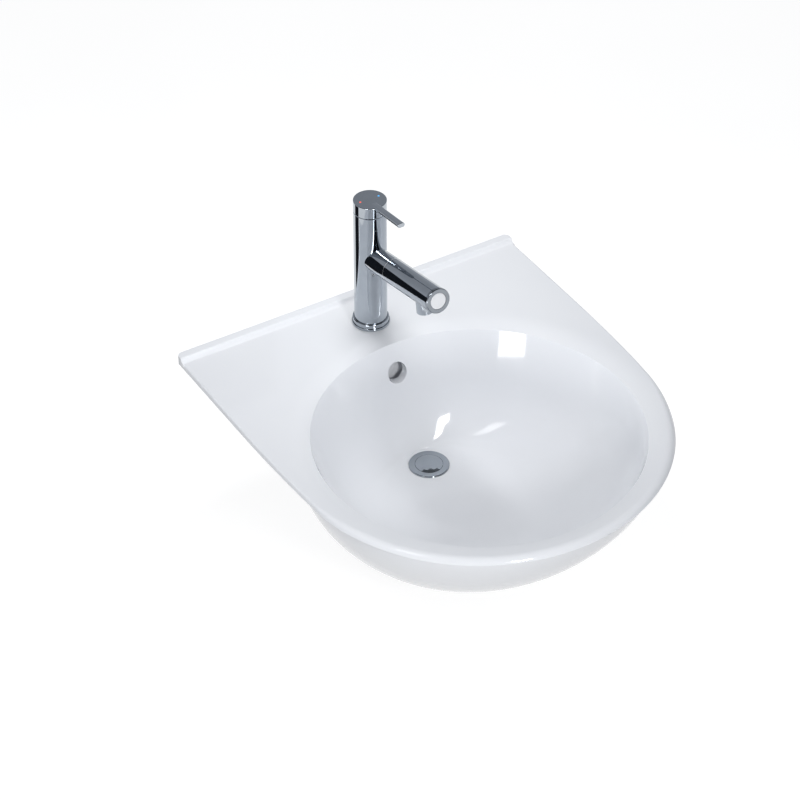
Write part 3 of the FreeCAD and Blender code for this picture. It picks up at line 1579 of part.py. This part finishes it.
def check_and_write():
    doc.recompute()
    for thing in doc.Objects:
        if "Invalid" in thing.State or "Error" in thing.State:
            raise RuntimeError(f"{thing.Label}: {thing.State}")
    os.makedirs("parts", exist_ok=True)
    for thing in nodes:
        shape = thing.Shape
        if shape.isNull() or not shape.isValid() or not shape.Solids:
            raise RuntimeError(thing.Label + ": no sound solid")
        shape.exportStep(f"parts/{thing.Label}.step")
        print(f"{thing.Label}: {len(shape.Solids)} solid, {shape.Volume / 1000:.2f} cm3")


build()
check_and_write()
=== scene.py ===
import json
import math

import bpy
from mathutils import Matrix, Vector


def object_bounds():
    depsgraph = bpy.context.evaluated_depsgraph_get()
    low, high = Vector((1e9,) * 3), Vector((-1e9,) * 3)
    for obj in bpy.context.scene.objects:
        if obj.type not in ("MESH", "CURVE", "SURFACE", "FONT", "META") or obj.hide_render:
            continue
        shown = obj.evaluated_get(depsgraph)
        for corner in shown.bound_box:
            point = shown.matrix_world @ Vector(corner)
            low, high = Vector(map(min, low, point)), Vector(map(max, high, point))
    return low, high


# Camera: where it stands (metres), where it looks from (degrees, 0 = from the front) and its lens.
CAMERA_PLACE = (-1.6040, -2.7719, 2.4261)
CAMERA_AZIMUTH = -31.44
CAMERA_ELEVATION = 39.21
FOCAL_LENGTH_PX = 2793.5
PICTURE_WIDTH_PX = 800
SENSOR_MM = 36
CAMERA_REACH = 60

# Floor: how far it lies under the lowest piece, its size, and its glow for camera and mirror rays.
FLOOR_GAP = 0.0005
FLOOR_SIZE = 30
FLOOR_LIFT = 0.88
FLOOR_GREYS = (0.26, 0.28)

# Lamps: place, target, width, height (metres) and power (watts).
LAMPS = {
    "top": ((0.03, 0.05, 0.86), (0.0, -0.10, 0.0), 0.30, 0.30, 5.2),
    "window": ((-0.95, -0.60, 1.45), (-0.05, -0.35, 0.0), 0.30, 0.45, 2.0),
    "high": ((-0.25, -2.10, 1.00), (0.0, -0.25, -0.05), 0.35, 0.35, 15.0),
    "front": ((-2.2, -2.0, 0.0), (-0.05, -0.35, -0.05), 0.8, 0.8, 38),
}
LAMPS_WITHOUT_HIGHLIGHT = ("top",)

# Dark cards: corners, going round.
CARDS = {
    "card_rear": [(-0.30, 0.05, -0.22), (-0.09, 0.05, -0.22),
                  (-0.09, 0.05, 0.18), (-0.30, 0.05, 0.18)],
    "card_front": [(-2.2, -1.9, 1.35), (1.6, -1.9, 1.35),
                   (1.6, -0.8, 2.3), (-2.2, -0.8, 2.3)],
}
CARD_COLOURS = ((0.012, 0.014, 0.018), (0.020, 0.022, 0.026))

# Room: brightness by height, from the horizon (0) to straight up (1).
HORIZON_COLOUR = (0.56, 0.58, 0.62)
ROOM_GREYS = ((0.06, 0.58), (0.35, 0.46), (0.62, 0.42), (0.80, 0.14))
ROOM_TINT = (0.94, 0.98, 1.06)
ZENITH_COLOUR = (0.07, 0.075, 0.085)
ROOM_STRENGTH = 0.85

# A noise texture's grey values stay mostly between these two.
NOISE_LOW, NOISE_HIGH = 0.35, 0.65

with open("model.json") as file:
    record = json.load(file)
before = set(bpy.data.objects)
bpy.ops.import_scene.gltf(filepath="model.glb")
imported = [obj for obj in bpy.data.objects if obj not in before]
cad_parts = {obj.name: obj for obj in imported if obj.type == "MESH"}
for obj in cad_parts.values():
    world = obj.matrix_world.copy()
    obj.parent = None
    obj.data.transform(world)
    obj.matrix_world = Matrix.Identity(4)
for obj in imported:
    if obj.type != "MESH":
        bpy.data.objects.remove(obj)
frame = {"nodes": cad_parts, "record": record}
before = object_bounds()
nodes = frame["nodes"]
scene = bpy.context.scene

# ------------------------------------------------------------------ camera


def set_camera():
    camera = bpy.data.objects.new("camera", bpy.data.cameras.new("camera"))
    scene.collection.objects.link(camera)
    azimuth, elevation = math.radians(CAMERA_AZIMUTH), math.radians(CAMERA_ELEVATION)
    back = Vector((math.sin(azimuth) * math.cos(elevation),
                   -math.cos(azimuth) * math.cos(elevation), math.sin(elevation)))
    right = Vector((0, 0, 1)).cross(back).normalized()
    up = back.cross(right)
    camera.matrix_world = Matrix((
        (right.x, up.x, back.x, CAMERA_PLACE[0]),
        (right.y, up.y, back.y, CAMERA_PLACE[1]),
        (right.z, up.z, back.z, CAMERA_PLACE[2]),
        (0, 0, 0, 1)))
    camera.data.sensor_width = SENSOR_MM
    camera.data.lens = SENSOR_MM * FOCAL_LENGTH_PX / PICTURE_WIDTH_PX
    camera.data.clip_end = CAMERA_REACH
    scene.camera = camera


set_camera()

# ------------------------------------------------------------------ materials


def material(name):
    made = bpy.data.materials.new(name)
    made.use_nodes = True
    return made, made.node_tree, made.node_tree.nodes["Principled BSDF"]


def noise(tree, scale, detail=3.0, stretch=(1, 1, 1)):
    place = tree.nodes.new("ShaderNodeTexCoord")
    mapping = tree.nodes.new("ShaderNodeMapping")
    mapping.inputs["Scale"].default_value = stretch
    texture = tree.nodes.new("ShaderNodeTexNoise")
    texture.inputs["Scale"].default_value = scale
    texture.inputs["Detail"].default_value = detail
    tree.links.new(place.outputs["Object"], mapping.inputs["Vector"])
    tree.links.new(mapping.outputs["Vector"], texture.inputs["Vector"])
    return texture


def blend(tree, texture, low, high, socket):
    """Runs a socket from low to high with a texture's grey value."""
    spread = tree.nodes.new("ShaderNodeMapRange")
    spread.inputs["From Min"].default_value = NOISE_LOW
    spread.inputs["From Max"].default_value = NOISE_HIGH
    spread.inputs["To Min"].default_value = low
    spread.inputs["To Max"].default_value = high
    tree.links.new(texture.outputs["Fac"], spread.inputs["Value"])
    tree.links.new(spread.outputs["Result"], socket)


def tint(tree, texture, one, other, socket):
    """Runs a colour socket from one colour to another with a texture's grey value."""
    ramp = tree.nodes.new("ShaderNodeValToRGB")
    first, last = ramp.color_ramp.elements
    first.position, first.color = NOISE_LOW, (*one, 1)
    last.position, last.color = NOISE_HIGH, (*other, 1)
    tree.links.new(texture.outputs["Fac"], ramp.inputs["Fac"])
    tree.links.new(ramp.outputs["Color"], socket)


def bumps(tree, shader, texture, height):
    """Gives a shader's surface bumps of a height in metres."""
    bump = tree.nodes.new("ShaderNodeBump")
    bump.inputs["Strength"].default_value = 1.0
    bump.inputs["Distance"].default_value = height
    tree.links.new(texture.outputs["Fac"], bump.inputs["Height"])
    tree.links.new(bump.outputs["Normal"], shader.inputs["Normal"])


def finish_of(name, one, other, rough, metallic=0.0, scale=40, bump=0.0, bump_scale=200,
              stretch=(1, 1, 1)):
    """A surface whose colour and roughness wander a little, with fine bumps."""
    made, tree, shader = material(name)
    tint(tree, noise(tree, scale), one, other, shader.inputs["Base Color"])
    blend(tree, noise(tree, scale * 2.3), *rough, shader.inputs["Roughness"])
    shader.inputs["Metallic"].default_value = metallic
    if bump:
        bumps(tree, shader, noise(tree, bump_scale, 2.0, stretch), bump)
    return made


china = finish_of("china", (0.80, 0.815, 0.845), (0.815, 0.83, 0.855), (0.06, 0.09), scale=6,
                  bump=0.00012, bump_scale=9)
chrome = finish_of("chrome", (0.43, 0.465, 0.505), (0.455, 0.49, 0.53), (0.03, 0.05), 1.0,
                   scale=60, bump=0.00001, bump_scale=25)
brass = finish_of("brass", (0.52, 0.36, 0.13), (0.60, 0.43, 0.17), (0.22, 0.34), 1.0,
                  bump=0.00004, bump_scale=30, stretch=(1, 1, 60))
steel = finish_of("steel", (0.42, 0.43, 0.44), (0.50, 0.51, 0.52), (0.25, 0.4), 1.0,
                  bump=0.00003, bump_scale=400)
wire = finish_of("wire", (0.35, 0.36, 0.37), (0.42, 0.43, 0.44), (0.2, 0.3), 1.0)
rubber = finish_of("rubber", (0.015, 0.015, 0.016), (0.025, 0.025, 0.026), (0.55, 0.7),
                   bump=0.00005, bump_scale=600)
white_plastic = finish_of("white_plastic", (0.80, 0.81, 0.83), (0.83, 0.84, 0.855),
                          (0.12, 0.18), scale=30)
grey_plastic = finish_of("grey_plastic", (0.24, 0.25, 0.27), (0.27, 0.28, 0.30), (0.35, 0.45),
                         bump=0.00003, bump_scale=900)
nylon = finish_of("nylon", (0.66, 0.66, 0.63), (0.70, 0.70, 0.67), (0.35, 0.45),
                  bump=0.00003, bump_scale=900)
# The spout ring's chrome is far lighter than the other chrome: a painted highlight.
painted_highlight_ring = finish_of("painted_highlight_ring", (0.90, 0.91, 0.92), (0.94, 0.95, 0.96), (0.22, 0.30),
                        1.0, scale=80)
dim_chrome = finish_of("dim_chrome", (0.27, 0.295, 0.325), (0.29, 0.315, 0.345), (0.10, 0.14),
                       1.0, scale=60)
red_mark = finish_of("red_mark", (0.95, 0.10, 0.07), (1.0, 0.14, 0.10), (0.2, 0.3))
blue_mark = finish_of("blue_mark", (0.08, 0.45, 0.95), (0.10, 0.50, 1.0), (0.2, 0.3))

BY_SLOT = {
    "china": china, "chrome": chrome, "brass": brass, "steel": steel, "spring_steel": wire,
    "rubber": rubber, "white_plastic": white_plastic, "grey_plastic": grey_plastic,
    "nylon": nylon, "red_mark": red_mark, "blue_mark": blue_mark,
}
# Two chrome rings of the spout have colours of their own: the spout ring a much lighter chrome,
# which is a painted highlight, and the handset's end ring a darker chrome.
BY_NODE = {"spout_ring": painted_highlight_ring, "handset_end_ring": dim_chrome}
for part in frame["record"]["subparts"]:
    node = nodes[part["node"]]
    node.data.materials.clear()
    node.data.materials.append(BY_NODE.get(part["node"], BY_SLOT[part["material_slot"]]))

# ------------------------------------------------------------------ floor, cards and light


def sheet(name, corners, look):
    """A flat four-cornered piece of the studio."""
    mesh = bpy.data.meshes.new(name)
    mesh.from_pydata(corners, [], [(0, 1, 2, 3)])
    piece = bpy.data.objects.new(name, mesh)
    piece.data.materials.append(look)
    scene.collection.objects.link(piece)
    return piece


def paper_material():
    """Pale floor: camera, mirror and glass rays see it lifted to white, shadows stay."""
    made, tree, shader = material("paper")
    low, high = FLOOR_GREYS
    tint(tree, noise(tree, 2), (low, low, low), (high, high, high), shader.inputs["Base Color"])
    shader.inputs["Roughness"].default_value = 0.9
    shader.inputs["Specular IOR Level"].default_value = 0.0
    path = tree.nodes.new("ShaderNodeLightPath")
    either = path.outputs["Is Camera Ray"]
    for kind in ("Is Glossy Ray", "Is Transmission Ray"):
        join = tree.nodes.new("ShaderNodeMath")
        join.operation = "MAXIMUM"
        tree.links.new(either, join.inputs[0])
        tree.links.new(path.outputs[kind], join.inputs[1])
        either = join.outputs["Value"]
    lift = tree.nodes.new("ShaderNodeMath")
    lift.operation = "MULTIPLY"
    lift.inputs[1].default_value = FLOOR_LIFT
    tree.links.new(either, lift.inputs[0])
    shader.inputs["Emission Color"].default_value = (1, 1, 1, 1)
    tree.links.new(lift.outputs["Value"], shader.inputs["Emission Strength"])
    return made


def lay_floor():
    half = FLOOR_SIZE / 2
    lowest = before[0][2]
    floor = sheet("floor", [(-half, -half, 0), (half, -half, 0), (half, half, 0), (-half, half, 0)],
                  paper_material())
    floor.location = (0, 0, lowest - FLOOR_GAP)


def lamp(name, place, target, width, height, power):
    data = bpy.data.lights.new(name, "AREA")
    data.shape = "RECTANGLE"
    data.size = width
    data.size_y = height
    data.energy = power
    made = bpy.data.objects.new(name, data)
    made.location = place
    direction = Vector(target) - Vector(place)
    made.rotation_euler = direction.to_track_quat("-Z", "Y").to_euler()
    made.visible_camera = False
    made.visible_glossy = name not in LAMPS_WITHOUT_HIGHLIGHT
    scene.collection.objects.link(made)


def card(name, corners):
    """A dark card that only polished faces see, as beside a product on a studio table."""
    look, tree, shader = material(name)
    tint(tree, noise(tree, 3), *CARD_COLOURS, shader.inputs["Base Color"])
    shader.inputs["Specular IOR Level"].default_value = 0.0
    piece = sheet(name, corners, look)
    piece.visible_camera = False
    piece.visible_diffuse = False
    piece.visible_shadow = False


def room():
    """A soft room: lighter at the horizon, darker overhead."""
    world = bpy.data.worlds.new("room")
    scene.world = world
    world.use_nodes = True
    tree = world.node_tree
    place = tree.nodes.new("ShaderNodeTexCoord")
    split = tree.nodes.new("ShaderNodeSeparateXYZ")
    ramp = tree.nodes.new("ShaderNodeValToRGB")
    first, last = ramp.color_ramp.elements
    first.position, first.color = 0.0, (*HORIZON_COLOUR, 1)
    last.position, last.color = 1.0, (*ZENITH_COLOUR, 1)
    for height, grey in ROOM_GREYS:
        stop = ramp.color_ramp.elements.new(height)
        stop.color = (*(grey * share for share in ROOM_TINT), 1)
    tree.links.new(place.outputs["Generated"], split.inputs["Vector"])
    tree.links.new(split.outputs["Z"], ramp.inputs["Fac"])
    background = tree.nodes["Background"]
    tree.links.new(ramp.outputs["Color"], background.inputs["Color"])
    background.inputs["Strength"].default_value = ROOM_STRENGTH


lay_floor()
for name, values in LAMPS.items():
    lamp(name, *values)
for name, corners in CARDS.items():
    card(name, corners)
room()

scene.view_settings.view_transform = "Standard"
